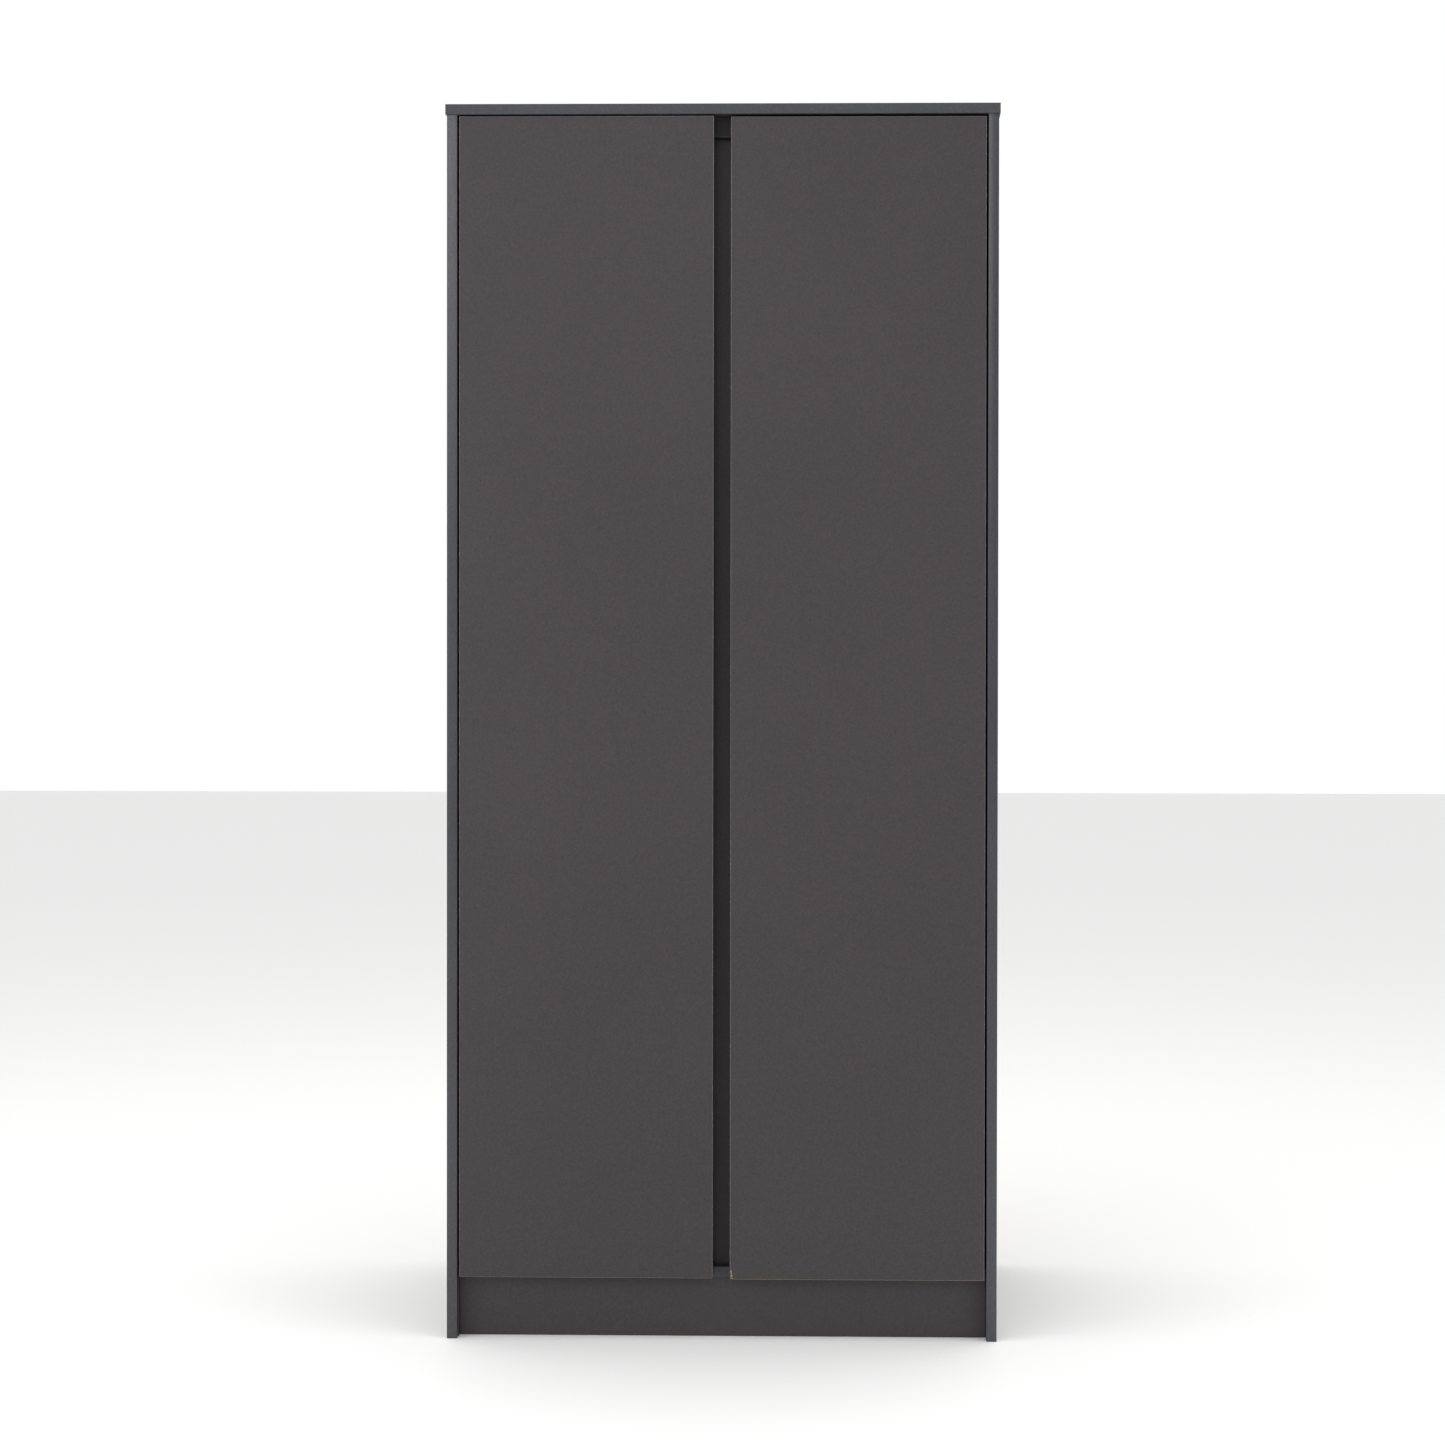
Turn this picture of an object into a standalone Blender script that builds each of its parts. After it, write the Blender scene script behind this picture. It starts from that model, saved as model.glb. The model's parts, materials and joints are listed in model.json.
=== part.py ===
# Two-door wardrobe, flat-pack construction. Metres, +Z up.
# The origin is the middle of the footprint on the floor, +X is to the right and the doors face -Y.

import math

import bmesh
import bpy
from mathutils import Matrix, Vector

# ---- overall sizes
HEIGHT = 1.800
WIDTH = 0.807
DEPTH = 0.500
BOARD = 0.015
BACK_BOARD = 0.003
TOUCH = 0.0003  # kept between pieces that touch

# ---- carcass; a setback is measured from the front face of the doors
SIDE_OVERHANG = 0.002  # of the top panel past each side panel
FRONT_OVERHANG = 0.002  # of the top panel past the doors
PLINTH_HEIGHT = 0.088
PLINTH_SETBACK = 0.023
REAR_PLINTH_INSET = 0.060
CARCASS_SETBACK = 0.018  # bottom panel and top rail
RAIL_HEIGHT = 0.030
POST_WIDTH = 0.076
SHELF_TOP = 1.500
SHELF_SETBACK = 0.060
SHELF_SIDE_PLAY = 0.0005

# ---- doors
DOOR_GAP = 0.003
DOOR_LENGTH = 1.6925
DOOR_TOP_GAPS = {"left": 0.0024, "right": 0.0038}  # the right door hangs a little lower
CHANNEL = 0.025  # finger channel between the doors
BUMPER_RADIUS = 0.004
BUMPER_FROM_EDGE = 0.013

# ---- concealed hinges: across is measured from the side panel's inner face, deep from the doors' front face
HINGE_FROM_END = 0.109
DOOR_AXIS = (0.0100, 0.0066)
CUP_ACROSS = 0.0235
CUP_RADIUS = 0.0172
CUP_WALL = 0.0010
POCKET_DEPTH = 0.0120
FLANGE = 0.0012
RIM_WIDTH = 0.0015  # of the flange round the cup's mouth
WING_NEAR = 0.0025  # the screwed wings, from the cup's middle towards the door's edge
WING_FAR = 0.0145
WING_REACH = 0.029
INNER_PIVOT = (0.0310, 0.0195)  # where the links turn on the arm
OUTER_PIVOT = (0.0365, 0.0195)
INNER_PIN = (0.0107, 0.0100)  # where they meet the cup
OUTER_PIN = (0.0104, 0.0060)
INNER_HALF_WIDTH = 0.0022
OUTER_HALF_WIDTH = 0.0046
ARM_HALF_WIDTH = 0.0068
LINK_PLAY = 0.0005  # each side of the links in the arm's nose
PLATE_TOP = 0.0089
PLATE_FRONT = 0.0400
PLATE_REAR = 0.0790
PLATE_HALF_WIDTH = 0.0055
PLATE_BASE = 0.0022  # thickness of the plate's two wings
PLATE_WING_FRONT = 0.0460
PLATE_WING_REAR = 0.0580
SCREW_SPACING = 0.032
SCREW_MARGIN = 0.007

# ---- hanging rail, connectors and small fittings
RAIL_Z = 1.440
TUBE_RADIUS = 0.0125
TUBE_WALL = 0.0012
SOCKET_RADIUS = 0.0160
SOCKET_LENGTH = 0.0130
SOCKET_FLOOR = 0.0030
CAM_RADIUS = 0.0075
CAM_LENGTH = 0.0120
CAM_BELOW_TOP = 0.034
CAM_FROM_FRONT = 0.062
PIN_RADIUS = 0.0025
PIN_DEPTH = 0.0080
PIN_LEDGE = 0.0080  # what stands out under the shelf
COLLAR_RADIUS = 0.0040
COLLAR_THICKNESS = 0.0012
PIN_FROM_FRONT = 0.100
FITTING_FROM_BACK = 0.060  # rear cams and rear shelf pins

# ---- worked out from the sizes above
FRONT = -DEPTH / 2 + FRONT_OVERHANG
REAR = DEPTH / 2
SIDE_OUTER = WIDTH / 2 - SIDE_OVERHANG
SIDE_INNER = SIDE_OUTER - BOARD
TOP_UNDERSIDE = HEIGHT - BOARD
STRIP_FLANGE = 0.0007  # of the strip that joins the two halves of the back
BACK_INSET = 0.001  # of the back's outer edges from the side panels' outer faces
BACK_END_INSET = 0.002
BACK_FRONT = REAR - STRIP_FLANGE - TOUCH - BACK_BOARD
SHELF_REAR = BACK_FRONT - STRIP_FLANGE - 2 * TOUCH
FLOOR_TOP = PLINTH_HEIGHT + BOARD
SIDES = {"left": -1, "right": 1}
ROUND = 24  # sides of a round piece
SMALL_ROUND = 16

# ---- colours, roughness and metallic value of each finish
FINISHES = {
    "anthracite_board": ((0.072, 0.066, 0.070), 0.55, 0.0),
    "back_board": ((0.085, 0.080, 0.082), 0.65, 0.0),
    "zinc_steel": ((0.55, 0.55, 0.54), 0.32, 1.0),
    "chromed_tube": ((0.70, 0.70, 0.71), 0.15, 1.0),
    "zinc_casting": ((0.45, 0.45, 0.45), 0.42, 1.0),
    "dark_plastic": ((0.030, 0.030, 0.032), 0.45, 0.0),
    "clear_rubber": ((0.60, 0.60, 0.58), 0.50, 0.0),
}


def empty_scene():
    for obj in list(bpy.data.objects):
        bpy.data.objects.remove(obj, do_unlink=True)


def new_collection(name):
    collection = bpy.data.collections.new(name)
    bpy.context.scene.collection.children.link(collection)
    return collection


def new_material(node, finish):
    colour, roughness, metallic = FINISHES[finish]
    material = bpy.data.materials.new(node)
    material.use_nodes = True
    shader = material.node_tree.nodes["Principled BSDF"]
    shader.inputs["Base Color"].default_value = (*colour, 1.0)
    shader.inputs["Roughness"].default_value = roughness
    shader.inputs["Metallic"].default_value = metallic
    return material


def move_to(obj, collection):
    for old in list(obj.users_collection):
        old.objects.unlink(obj)
    collection.objects.link(obj)


def finished(obj, name, finish):
    """Name a piece, give it its own material and put it in the wardrobe's collection."""
    obj.name = name
    obj.data.name = name
    obj.data.materials.clear()
    obj.data.materials.append(new_material(name, finish))
    move_to(obj, wardrobe)
    return obj


def block(low, high):
    """A box between two corners, with its size in the mesh."""
    size = [b - a for a, b in zip(low, high)]
    centre = [(a + b) / 2 for a, b in zip(low, high)]
    bpy.ops.mesh.primitive_cube_add(size=1, location=centre)
    obj = bpy.context.object
    obj.data.transform(Matrix.Diagonal((*size, 1)))
    return obj


def rod(radius, length, start, direction, sides=ROUND, ends="NGON"):
    """A cylinder that starts at a point and runs along a direction."""
    direction = Vector(direction).normalized()
    centre = Vector(start) + direction * length / 2
    turn = Vector((0, 0, 1)).rotation_difference(direction)
    bpy.ops.mesh.primitive_cylinder_add(
        vertices=sides, radius=radius, depth=length, location=centre,
        rotation=turn.to_euler(), end_fill_type=ends,
    )
    obj = bpy.context.object
    obj.data.shade_smooth()
    obj.data.set_sharp_from_angle(angle=math.radians(40))
    return obj


def drawn(outline, low, high):
    """A flat outline in X and Y, given thickness from one height to another, as a mesh."""
    curve = bpy.data.curves.new("outline", "CURVE")
    curve.dimensions = "2D"
    curve.fill_mode = "BOTH"
    curve.extrude = (high - low) / 2
    spline = curve.splines.new("POLY")
    spline.points.add(len(outline) - 1)
    for point, (x, y) in zip(spline.points, outline):
        point.co = (x, y, 0, 1)
    spline.use_cyclic_u = True
    guide = bpy.data.objects.new("outline", curve)
    guide.location.z = (low + high) / 2
    bpy.context.scene.collection.objects.link(guide)
    bpy.context.view_layer.update()
    evaluated = guide.evaluated_get(bpy.context.evaluated_depsgraph_get())
    mesh = bpy.data.meshes.new_from_object(evaluated)
    solid = bmesh.new()
    solid.from_mesh(mesh)
    bmesh.ops.remove_doubles(solid, verts=solid.verts, dist=1e-6)
    bmesh.ops.recalc_face_normals(solid, faces=solid.faces)
    solid.to_mesh(mesh)
    solid.free()
    obj = bpy.data.objects.new("outline", mesh)
    obj.matrix_world = guide.matrix_world
    bpy.context.scene.collection.objects.link(obj)
    bpy.data.objects.remove(guide, do_unlink=True)
    return obj


def boolean(obj, tool, operation):
    """Cut or join with a tool that stays in the cutters' collection."""
    modifier = obj.modifiers.new(operation.lower(), "BOOLEAN")
    modifier.operation = operation
    modifier.solver = "EXACT"
    modifier.object = tool
    tool.hide_render = True
    tool.display_type = "WIRE"
    tool.name = "cutter"
    move_to(tool, cutters)


def put_origin(obj, point):
    """Move a piece's origin to a point of the world, and leave the piece where it is."""
    point = Vector(point)
    bpy.context.view_layer.update()
    obj.data.transform(Matrix.Translation(-point) @ obj.matrix_world)
    obj.matrix_world = Matrix.Translation(point)


def hang_on(obj, parent):
    """Parent a piece and leave it where it is."""
    bpy.context.view_layer.update()
    obj.parent = parent
    obj.matrix_parent_inverse = parent.matrix_world.inverted()


def door_ends(word):
    """Heights of a door's lower and upper edges."""
    high = TOP_UNDERSIDE - DOOR_TOP_GAPS[word]
    return high - DOOR_LENGTH, high


def hinge_heights(word):
    low, high = door_ends(word)
    return {"bottom": low + HINGE_FROM_END, "middle": (low + high) / 2, "top": high - HINGE_FROM_END}


def at_hinge(side, across, deep):
    """World X and Y of a place in a hinge."""
    return side * (SIDE_INNER - across), FRONT + deep


# ---- boards


def make_boards():
    edge = SIDE_OUTER + SIDE_OVERHANG
    top = block((-edge, -DEPTH / 2, TOP_UNDERSIDE), (edge, BACK_FRONT - TOUCH, HEIGHT))
    finished(top, "top_panel", "anthracite_board")
    for word, side in SIDES.items():
        xs = sorted((side * SIDE_INNER, side * SIDE_OUTER))
        panel = block((xs[0], FRONT, 0), (xs[1], BACK_FRONT - TOUCH, TOP_UNDERSIDE - TOUCH))
        finished(panel, word + "_side_panel", "anthracite_board")
        for place in cam_places(side):
            pocket = CAM_LENGTH + 2 * TOUCH
            hole = rod(CAM_RADIUS + TOUCH, 2 * pocket, place + Vector((-side * pocket, 0, 0)), (side, 0, 0))
            boolean(panel, hole, "DIFFERENCE")
        for place in pin_places(side):
            pocket = PIN_DEPTH + 2 * TOUCH
            start = place + Vector((-side * pocket, 0, 0))
            hole = rod(PIN_RADIUS + TOUCH, 2 * pocket, start, (side, 0, 0), SMALL_ROUND)
            boolean(panel, hole, "DIFFERENCE")
    across = SIDE_INNER - TOUCH
    front = FRONT + CARCASS_SETBACK
    boards = {
        "bottom_panel": ((front, PLINTH_HEIGHT), (SHELF_REAR, FLOOR_TOP)),
        "plinth": ((FRONT + PLINTH_SETBACK, 0), (FRONT + PLINTH_SETBACK + BOARD, PLINTH_HEIGHT - TOUCH)),
        "rear_plinth": (
            (BACK_FRONT - REAR_PLINTH_INSET - BOARD, 0),
            (BACK_FRONT - REAR_PLINTH_INSET, PLINTH_HEIGHT - TOUCH),
        ),
        "top_rail": ((front, TOP_UNDERSIDE - RAIL_HEIGHT), (front + BOARD, TOP_UNDERSIDE - TOUCH)),
    }
    for name, (low, high) in boards.items():
        finished(block((-across, *low), (across, *high)), name, "anthracite_board")
    half = SIDE_INNER - SHELF_SIDE_PLAY
    shelf = block((-half, FRONT + SHELF_SETBACK, SHELF_TOP - BOARD), (half, SHELF_REAR, SHELF_TOP))
    finished(shelf, "hat_shelf", "anthracite_board")
    post_front = front + BOARD + TOUCH
    post = block(
        (-POST_WIDTH / 2, post_front, FLOOR_TOP + TOUCH),
        (POST_WIDTH / 2, post_front + BOARD, TOP_UNDERSIDE - TOUCH),
    )
    finished(post, "centre_post", "anthracite_board")


def make_back():
    """Two thin halves and the H-section strip that joins them between the top and bottom panels."""
    web = 0.0018
    flange = 0.0090
    edge = SIDE_OUTER - BACK_INSET
    low = PLINTH_HEIGHT + BACK_END_INSET
    high = HEIGHT - BACK_END_INSET
    for word, side in SIDES.items():
        xs = sorted((side * (web + TOUCH), side * edge))
        half = block((xs[0], BACK_FRONT, low), (xs[1], BACK_FRONT + BACK_BOARD, high))
        finished(half, "back_panel_" + word, "back_board")
    inside = BACK_FRONT - TOUCH
    outside = BACK_FRONT + BACK_BOARD + TOUCH
    quarter = [(flange, outside + STRIP_FLANGE), (flange, outside), (web, outside)]
    quarter += [(web, inside), (flange, inside), (flange, inside - STRIP_FLANGE)]
    outline = quarter + [(-x, y) for x, y in reversed(quarter)]
    strip = drawn(outline, FLOOR_TOP + TOUCH, TOP_UNDERSIDE - TOUCH)
    finished(strip, "back_joining_strip", "dark_plastic")


# ---- doors and their hinges


def make_door(word, side):
    inner = side * CHANNEL / 2
    outer = side * (SIDE_INNER - DOOR_GAP)
    xs = sorted((inner, outer))
    low, high = door_ends(word)
    door = block((xs[0], FRONT, low), (xs[1], FRONT + BOARD, high))
    axis = (*at_hinge(side, *DOOR_AXIS), 0)
    put_origin(door, axis)
    finished(door, word + "_door", "anthracite_board")
    x, y = at_hinge(side, CUP_ACROSS, BOARD - POCKET_DEPTH)
    for height in hinge_heights(word).values():
        pocket = rod(CUP_RADIUS + TOUCH, 2 * POCKET_DEPTH, (x, y, height), (0, 1, 0))
        boolean(door, pocket, "DIFFERENCE")
    gap = CARCASS_SETBACK - BOARD
    heights = {"bottom": PLINTH_HEIGHT + BOARD / 2, "top": TOP_UNDERSIDE - BOARD}
    for place, height in heights.items():
        start = (inner + side * BUMPER_FROM_EDGE, FRONT + BOARD + TOUCH, height)
        bumper = rod(BUMPER_RADIUS, gap - 2 * TOUCH, start, (0, 1, 0), SMALL_ROUND)
        finished(bumper, f"door_bumper_{word}_{place}", "clear_rubber")
        hang_on(bumper, door)
    return door


def make_cup(side, height):
    """The steel cup let into the door, with the wings that are screwed to the door's back."""
    x, back = at_hinge(side, CUP_ACROSS, BOARD + TOUCH)
    depth = POCKET_DEPTH - TOUCH
    cup = rod(CUP_RADIUS, depth + FLANGE, (x, back - depth, height), (0, 1, 0))
    rim = rod(CUP_RADIUS + RIM_WIDTH, FLANGE, (x, back, height), (0, 1, 0))
    wing_xs = sorted((x - side * WING_NEAR, x - side * WING_FAR))
    low = (wing_xs[0], back, height - WING_REACH)
    wings = block(low, (wing_xs[1], back + FLANGE, height + WING_REACH))
    boolean(cup, rim, "UNION")
    boolean(cup, wings, "UNION")
    hollow = rod(CUP_RADIUS - CUP_WALL, 2 * POCKET_DEPTH, (x, back - depth + CUP_WALL, height), (0, 1, 0))
    boolean(cup, hollow, "DIFFERENCE")
    return cup


def make_arm(side, height):
    """The cranked arm: its nose holds both links behind the cup, its tail lies on the mounting plate."""
    nose_front = BOARD + 0.0024
    nose_high = 0.0410
    tail_low = PLATE_TOP + TOUCH
    profile = [
        (0.0275, nose_front), (nose_high, nose_front), (nose_high, 0.0245), (0.0330, 0.0320),
        (0.0200, 0.0420), (0.0150, 0.0480), (0.0150, 0.0800), (tail_low, 0.0800),
        (tail_low, 0.0430), (0.0130, 0.0370), (0.0275, 0.0255),
    ]
    outline = [at_hinge(side, *place) for place in profile]
    arm = drawn(outline, height - ARM_HALF_WIDTH, height + ARM_HALF_WIDTH)
    slot = OUTER_HALF_WIDTH + LINK_PLAY
    near = at_hinge(side, 0.0200, 0.0100)
    far = at_hinge(side, nose_high - 0.0016, 0.0240)
    xs = sorted((near[0], far[0]))
    boolean(arm, block((xs[0], near[1], height - slot), (xs[1], far[1], height + slot)), "DIFFERENCE")
    return arm


def make_mounting_plate(side, height):
    """The cross-shaped plate screwed to the side panel."""
    wing_half = SCREW_SPACING / 2 + SCREW_MARGIN
    low = at_hinge(side, TOUCH, PLATE_FRONT)
    high = at_hinge(side, PLATE_TOP, PLATE_REAR)
    xs = sorted((low[0], high[0]))
    plate = block((xs[0], low[1], height - PLATE_HALF_WIDTH), (xs[1], high[1], height + PLATE_HALF_WIDTH))
    wing_low = at_hinge(side, TOUCH, PLATE_WING_FRONT)
    wing_high = at_hinge(side, TOUCH + PLATE_BASE, PLATE_WING_REAR)
    xs = sorted((wing_low[0], wing_high[0]))
    wing = block((xs[0], wing_low[1], height - wing_half), (xs[1], wing_high[1], height + wing_half))
    boolean(plate, wing, "UNION")
    return plate


def strap(places, half_widths):
    """Outline of a bent strap through places, with round ends; each place has its half width."""
    points = [Vector(place) for place in places]
    near_side = []
    far_side = []
    for index, point in enumerate(points):
        before = points[max(index - 1, 0)]
        after = points[min(index + 1, len(points) - 1)]
        across = (after - before).normalized().orthogonal() * half_widths[index]
        near_side.append(point + across)
        far_side.append(point - across)
    turns = [math.pi * step / 5 for step in range(1, 5)]
    last = near_side[-1] - points[-1]
    first = far_side[0] - points[0]
    end_cap = [points[-1] + Matrix.Rotation(-turn, 2) @ last for turn in turns]
    start_cap = [points[0] + Matrix.Rotation(-turn, 2) @ first for turn in turns]
    return near_side + end_cap + far_side[::-1] + start_cap


def make_link(side, height, places, half_width):
    """A cranked link, drawn with the door closed; its origin is on its pivot in the arm."""
    thin = 0.00075
    widths = [0.0019] + [thin] * (len(places) - 2) + [0.0012]
    outline = [at_hinge(side, *place) for place in strap(places, widths)]
    link = drawn(outline, height - half_width, height + half_width)
    put_origin(link, (*at_hinge(side, *places[0]), height))
    return link


def make_inner_link(side, height):
    places = [INNER_PIVOT, (0.0262, 0.0140), (0.0222, 0.0104), (0.0175, 0.0088), INNER_PIN]
    return make_link(side, height, places, INNER_HALF_WIDTH)


def make_outer_link(side, height):
    """Two cheeks either side of the inner link, joined where they turn on the arm."""
    places = [OUTER_PIVOT, (0.0310, 0.0120), (0.0262, 0.0078), (0.0205, 0.0062), OUTER_PIN]
    link = make_link(side, height, places, OUTER_HALF_WIDTH)
    slot = INNER_HALF_WIDTH + 0.0004
    near = at_hinge(side, 0.0050, 0.0)
    far = at_hinge(side, OUTER_PIVOT[0] - 0.0022, 0.0300)
    xs = sorted((near[0], far[0]))
    cutter = block((xs[0], near[1], height - slot), (xs[1], far[1], height + slot))
    boolean(link, cutter, "DIFFERENCE")
    return link


def make_hinges(word, side, door):
    for place, height in hinge_heights(word).items():
        pieces = {
            "cup": (make_cup(side, height), "zinc_steel"),
            "arm": (make_arm(side, height), "zinc_steel"),
            "mounting_plate": (make_mounting_plate(side, height), "zinc_casting"),
            "inner_link": (make_inner_link(side, height), "zinc_steel"),
            "outer_link": (make_outer_link(side, height), "zinc_steel"),
        }
        for piece, (obj, finish) in pieces.items():
            finished(obj, f"hinge_{piece}_{word}_{place}", finish)
        hang_on(pieces["cup"][0], door)


# ---- connectors, shelf pins, hanging rail and wall bracket


def cam_places(side):
    """Where the cams that draw the top panel down are let into a side panel."""
    height = TOP_UNDERSIDE - CAM_BELOW_TOP
    depths = (FRONT + CAM_FROM_FRONT, BACK_FRONT - FITTING_FROM_BACK)
    return [Vector((side * SIDE_INNER, depth, height)) for depth in depths]


def pin_places(side):
    height = SHELF_TOP - BOARD - TOUCH - PIN_RADIUS
    depths = (FRONT + PIN_FROM_FRONT, BACK_FRONT - FITTING_FROM_BACK)
    return [Vector((side * SIDE_INNER, depth, height)) for depth in depths]


def make_fittings(word, side):
    for place, spot in zip(("front", "rear"), cam_places(side)):
        cam = rod(CAM_RADIUS, CAM_LENGTH, spot, (side, 0, 0))
        finished(cam, f"connector_cam_{word}_{place}", "zinc_casting")
    for place, spot in zip(("front", "rear"), pin_places(side)):
        end = spot - Vector((side * PIN_LEDGE, 0, 0))
        pin = rod(PIN_RADIUS, PIN_DEPTH + PIN_LEDGE, end, (side, 0, 0), SMALL_ROUND)
        below = COLLAR_RADIUS - PIN_RADIUS + 0.0001  # the collar's top stays just under the shelf
        seat = spot - Vector((side * TOUCH, 0, below))
        collar = rod(COLLAR_RADIUS, COLLAR_THICKNESS, seat, (-side, 0, 0), SMALL_ROUND)
        boolean(pin, collar, "UNION")
        finished(pin, f"shelf_pin_{word}_{place}", "zinc_steel")
    wall = side * (SIDE_INNER - TOUCH)
    socket = rod(SOCKET_RADIUS, SOCKET_LENGTH, (wall, 0, RAIL_Z), (-side, 0, 0))
    floor = side * (SIDE_INNER - TOUCH - SOCKET_FLOOR)
    bore = rod(TUBE_RADIUS + TOUCH, SOCKET_LENGTH, (floor, 0, RAIL_Z), (-side, 0, 0))
    boolean(socket, bore, "DIFFERENCE")
    finished(socket, f"rail_socket_{word}", "zinc_casting")


def make_hanging_rail():
    half = SIDE_INNER - 2 * TOUCH - SOCKET_FLOOR
    tube = rod(TUBE_RADIUS, 2 * half, (-half, 0, RAIL_Z), (1, 0, 0), ends="NOTHING")
    wall = tube.modifiers.new("wall", "SOLIDIFY")
    wall.thickness = TUBE_WALL
    wall.offset = -1
    finished(tube, "hanging_rail", "chromed_tube")


def make_wall_bracket():
    """An angle under the top panel, screwed through the back into the wall."""
    width = 0.030
    leg = 0.032
    sheet = 0.002
    middle = 0.180
    rear = BACK_FRONT - TOUCH
    high = TOP_UNDERSIDE - TOUCH
    angle = block((middle - width / 2, rear - leg, high - leg), (middle + width / 2, rear, high))
    low = (middle - width, rear - 2 * leg, high - 2 * leg)
    boolean(angle, block(low, (middle + width, rear - sheet, high - sheet)), "DIFFERENCE")
    finished(angle, "wall_bracket", "zinc_steel")


empty_scene()
wardrobe = new_collection("wardrobe")
cutters = new_collection("cutters")
make_boards()
make_back()
for side_word, side_sign in SIDES.items():
    hung_door = make_door(side_word, side_sign)
    make_hinges(side_word, side_sign, hung_door)
    make_fittings(side_word, side_sign)
make_hanging_rail()
make_wall_bracket()
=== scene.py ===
import json
import math

import bpy
from mathutils import Matrix, Vector


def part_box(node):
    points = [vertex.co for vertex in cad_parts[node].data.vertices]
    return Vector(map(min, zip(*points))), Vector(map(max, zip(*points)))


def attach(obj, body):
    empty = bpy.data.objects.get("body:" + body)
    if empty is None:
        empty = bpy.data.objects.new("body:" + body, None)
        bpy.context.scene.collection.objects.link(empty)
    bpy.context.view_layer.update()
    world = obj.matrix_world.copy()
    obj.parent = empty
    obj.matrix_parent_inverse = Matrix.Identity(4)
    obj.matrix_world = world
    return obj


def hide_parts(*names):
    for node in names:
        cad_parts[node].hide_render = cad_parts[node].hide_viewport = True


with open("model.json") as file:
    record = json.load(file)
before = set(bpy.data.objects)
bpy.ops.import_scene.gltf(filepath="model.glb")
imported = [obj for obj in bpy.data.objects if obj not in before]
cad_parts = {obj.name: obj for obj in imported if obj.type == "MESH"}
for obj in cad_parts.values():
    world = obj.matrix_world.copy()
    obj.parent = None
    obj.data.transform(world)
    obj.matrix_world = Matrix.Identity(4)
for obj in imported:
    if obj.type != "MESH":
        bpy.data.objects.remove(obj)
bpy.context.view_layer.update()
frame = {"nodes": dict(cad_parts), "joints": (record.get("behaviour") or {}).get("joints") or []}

# every length is in metres
cadNodes = frame["nodes"]
hands = {"left": -1, "right": 1}  # which way is outwards in X
hingePlaces = ("bottom", "middle", "top")
touch = 0.0003  # kept between pieces that touch
same = 0.00001  # places closer than this are one place
merged = 0.000001  # vertices closer than this are merged


def deselectAll():
    if bpy.context.object and bpy.context.object.mode != "OBJECT":
        bpy.ops.object.mode_set(mode="OBJECT")
    bpy.ops.object.select_all(action="DESELECT")


def takeUp(piece):
    deselectAll()
    piece.select_set(True)
    bpy.context.view_layer.objects.active = piece


def editSelected(piece, kind, test, *steps):
    # select faces or edges by a test of their middle and direction, then run edit mode steps on them
    takeUp(piece)
    bpy.ops.object.mode_set(mode="EDIT")
    bpy.ops.mesh.select_mode(type=kind)
    bpy.ops.mesh.select_all(action="DESELECT")
    bpy.ops.object.mode_set(mode="OBJECT")
    mesh = piece.data
    if kind == "FACE":
        for face in mesh.polygons:
            face.select = bool(test(face.center, face.normal))
    else:
        for edge in mesh.edges:
            ends = [mesh.vertices[index].co for index in edge.vertices]
            edge.select = bool(test(*ends))
    bpy.ops.object.mode_set(mode="EDIT")
    for step in steps:
        step()
    bpy.ops.object.mode_set(mode="OBJECT")


def settle(piece):
    # leave the piece's object at the origin, with its place in its mesh
    takeUp(piece)
    bpy.ops.object.transform_apply(location=True, rotation=True, scale=True)
    return piece


def applyModifier(piece, kind, **settings):
    takeUp(piece)
    modifier = piece.modifiers.new(kind.lower(), kind)
    for name, value in settings.items():
        setattr(modifier, name, value)
    bpy.ops.object.modifier_apply(modifier=modifier.name)


def cutAway(piece, cutter, operation="DIFFERENCE"):
    applyModifier(piece, "BOOLEAN", operation=operation, solver="EXACT", object=cutter)
    bpy.data.objects.remove(cutter, do_unlink=True)


def joined(pieces, name):
    deselectAll()
    for piece in pieces:
        piece.select_set(True)
    bpy.context.view_layer.objects.active = pieces[0]
    if len(pieces) > 1:
        bpy.ops.object.join()
    pieces[0].name = name
    pieces[0].data.name = name
    return pieces[0]


def roundEdges(piece, width, steps=2, angle=30):
    applyModifier(
        piece, "BEVEL", width=width, segments=steps, limit_method="ANGLE",
        angle_limit=math.radians(angle), use_clamp_overlap=True,
    )
    smooth(piece)


def smooth(piece, angle=35):
    takeUp(piece)
    bpy.ops.object.shade_smooth_by_angle(angle=math.radians(angle))


def slab(name, low, high):
    # a cube added at the size and place of a box
    deselectAll()
    low, high = Vector(low), Vector(high)
    bpy.ops.mesh.primitive_cube_add(size=1, location=(low + high) / 2, scale=high - low)
    piece = bpy.context.object
    piece.name = name
    piece.data.name = name
    return settle(piece)


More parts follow.
